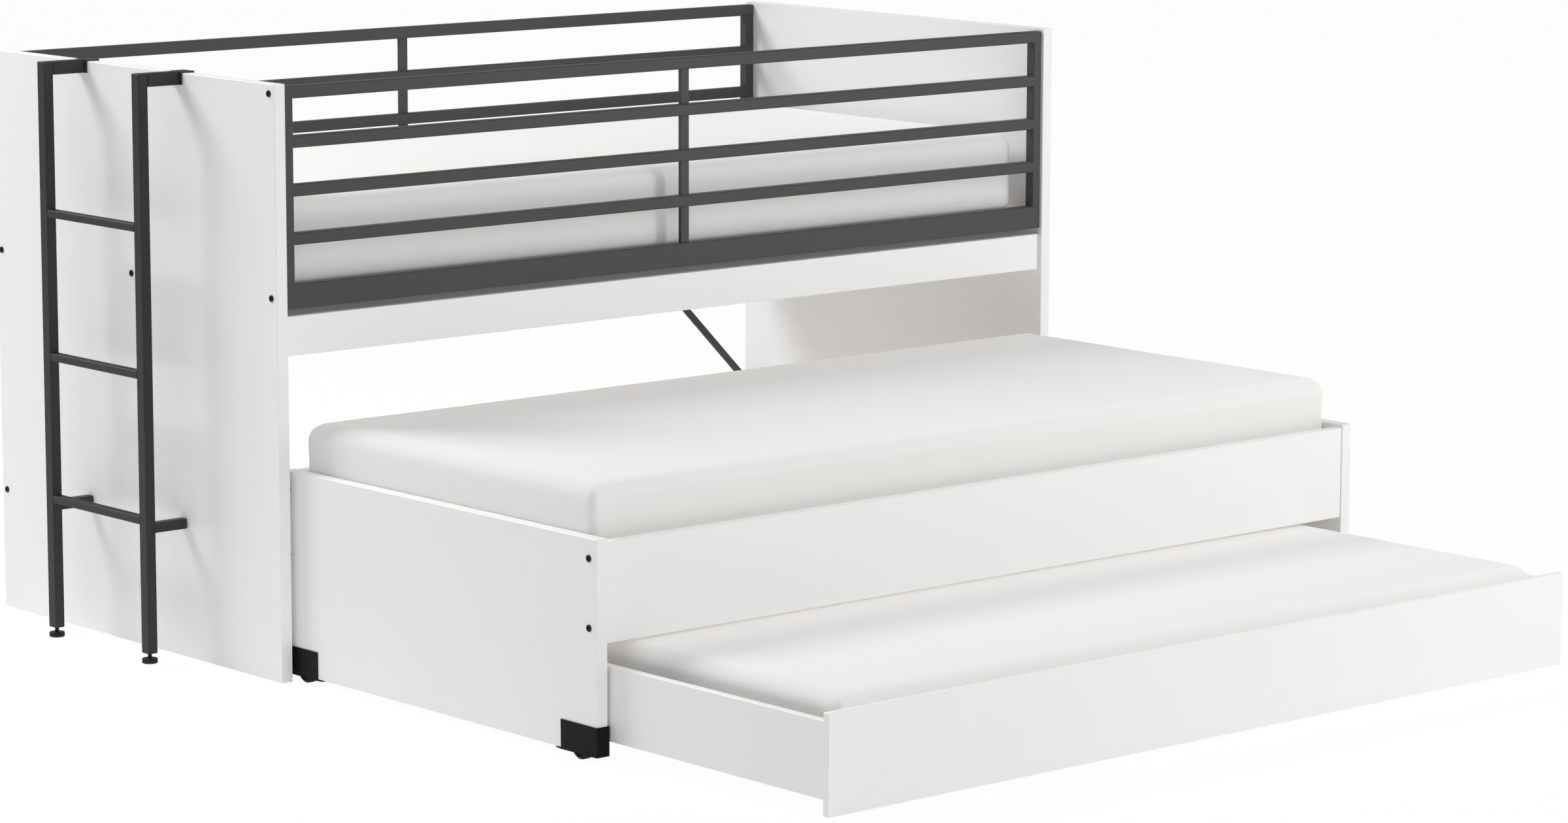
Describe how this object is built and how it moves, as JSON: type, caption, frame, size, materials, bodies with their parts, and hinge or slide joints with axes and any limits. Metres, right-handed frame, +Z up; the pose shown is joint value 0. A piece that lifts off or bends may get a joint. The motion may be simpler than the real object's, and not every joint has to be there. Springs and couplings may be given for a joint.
{
  "type": "bunk bed",
  "caption": "Low bunk bed with white end panels, black tube guards and hook-on ladder, over a castored bed that rolls out and a trundle that rolls out from under that bed.",
  "frame": {"origin": "middle of the left (ladder-end) panel's floor face", "axes": "+X along the bed from the ladder end to the other end, +Y from the side the beds roll out of towards the wall side, +Z up"},
  "size_m": [2.1391, 2.485, 1.1533],
  "materials": {
    "white_board": "satin white foil on laminated board",
    "black_steel": "fine textured black powder coat",
    "black_plastic": "moulded, matte",
    "pine": "planed, unfinished",
    "mattress": "warm off-white knitted cover"
  },
  "bodies": {
    "bunk": {"end_panel_left": "white_board", "end_panel_right": "white_board", "guard_front": "black_steel", "guard_back": "black_steel", "apron_front": "white_board", "apron_back": "white_board", "slat_rail_front": "white_board", "slat_rail_back": "white_board", "centre_beam": "black_steel", "upper_slats": "pine", "upper_mattress": "mattress", "brace_left": "black_steel", "brace_right": "black_steel"},
    "ladder": {"ladder_upright_front": "black_steel", "ladder_upright_back": "black_steel", "rung_1": "black_steel", "rung_2": "black_steel", "rung_3": "black_steel", "hook_arm_front": "black_steel", "hook_arm_back": "black_steel", "lower_arm_front": "black_steel", "lower_arm_back": "black_steel"},
    "foot_front": {"levelling_foot_front": "black_plastic"},
    "foot_back": {"levelling_foot_back": "black_plastic"},
    "pullout_bed": {"pullout_panel_left": "white_board", "pullout_panel_right": "white_board", "pullout_rail_front": "white_board", "pullout_rail_back": "white_board", "pullout_ledger_front": "pine", "pullout_ledger_back": "pine", "pullout_slats": "pine", "pullout_mattress": "mattress", "corner_bracket_front_left": "black_steel", "corner_bracket_front_right": "black_steel", "corner_bracket_back_left": "black_steel", "corner_bracket_back_right": "black_steel"},
    "trundle": {"trundle_front": "white_board", "trundle_back": "white_board", "trundle_side_left": "white_board", "trundle_side_right": "white_board", "trundle_ledger_front": "pine", "trundle_ledger_back": "pine", "trundle_slats": "pine", "trundle_mattress": "mattress", "castor_fork_front_left": "black_steel", "castor_fork_front_right": "black_steel", "castor_fork_back_left": "black_steel", "castor_fork_back_right": "black_steel"},
    "wheel_front_left_turning": {"wheel_front_left": "black_plastic"},
    "wheel_front_right_turning": {"wheel_front_right": "black_plastic"},
    "wheel_back_left_turning": {"wheel_back_left": "black_plastic"},
    "wheel_back_right_turning": {"wheel_back_right": "black_plastic"},
    "castor_front_left_turning": {"castor_front_left": "black_plastic"},
    "castor_front_right_turning": {"castor_front_right": "black_plastic"},
    "castor_back_left_turning": {"castor_back_left": "black_plastic"},
    "castor_back_right_turning": {"castor_back_right": "black_plastic"}
  },
  "joints": [
    {"name": "ladder_lift", "type": "slide", "parent": "bunk", "child": "ladder", "axis": [0, 0, 1], "range_m": [0, 0.03]},
    {"name": "pullout_roll", "type": "slide", "parent": "bunk", "child": "pullout_bed", "axis": [0, 1, 0], "range_m": [0, 0.914]},
    {"name": "trundle_roll", "type": "slide", "parent": "pullout_bed", "child": "trundle", "axis": [0, 1, 0], "range_m": [-0.28, 0.585]},
    {"name": "foot_front_screw", "type": "slide", "parent": "ladder", "child": "foot_front", "axis": [0, 0, 1], "range_m": [0, 0.008]},
    {"name": "foot_back_screw", "type": "slide", "parent": "ladder", "child": "foot_back", "axis": [0, 0, 1], "range_m": [0, 0.008]},
    {"name": "wheel_front_left_spin", "type": "hinge", "parent": "pullout_bed", "child": "wheel_front_left_turning", "pos_m": [0.0345, -1.353, 0.025], "axis": [1, 0, 0], "continuous": true},
    {"name": "wheel_front_right_spin", "type": "hinge", "parent": "pullout_bed", "child": "wheel_front_right_turning", "pos_m": [1.9775, -1.353, 0.025], "axis": [1, 0, 0], "continuous": true},
    {"name": "wheel_back_left_spin", "type": "hinge", "parent": "pullout_bed", "child": "wheel_back_left_turning", "pos_m": [0.0345, -0.514, 0.025], "axis": [1, 0, 0], "continuous": true},
    {"name": "wheel_back_right_spin", "type": "hinge", "parent": "pullout_bed", "child": "wheel_back_right_turning", "pos_m": [1.9775, -0.514, 0.025], "axis": [1, 0, 0], "continuous": true},
    {"name": "castor_front_left_spin", "type": "hinge", "parent": "trundle", "child": "castor_front_left_turning", "pos_m": [0.201, -1.9555, 0.021], "axis": [1, 0, 0], "continuous": true},
    {"name": "castor_front_right_spin", "type": "hinge", "parent": "trundle", "child": "castor_front_right_turning", "pos_m": [1.811, -1.9555, 0.021], "axis": [1, 0, 0], "continuous": true},
    {"name": "castor_back_left_spin", "type": "hinge", "parent": "trundle", "child": "castor_back_left_turning", "pos_m": [0.201, -1.1395, 0.021], "axis": [1, 0, 0], "continuous": true},
    {"name": "castor_back_right_spin", "type": "hinge", "parent": "trundle", "child": "castor_back_right_turning", "pos_m": [1.811, -1.1395, 0.021], "axis": [1, 0, 0], "continuous": true}
  ]
}
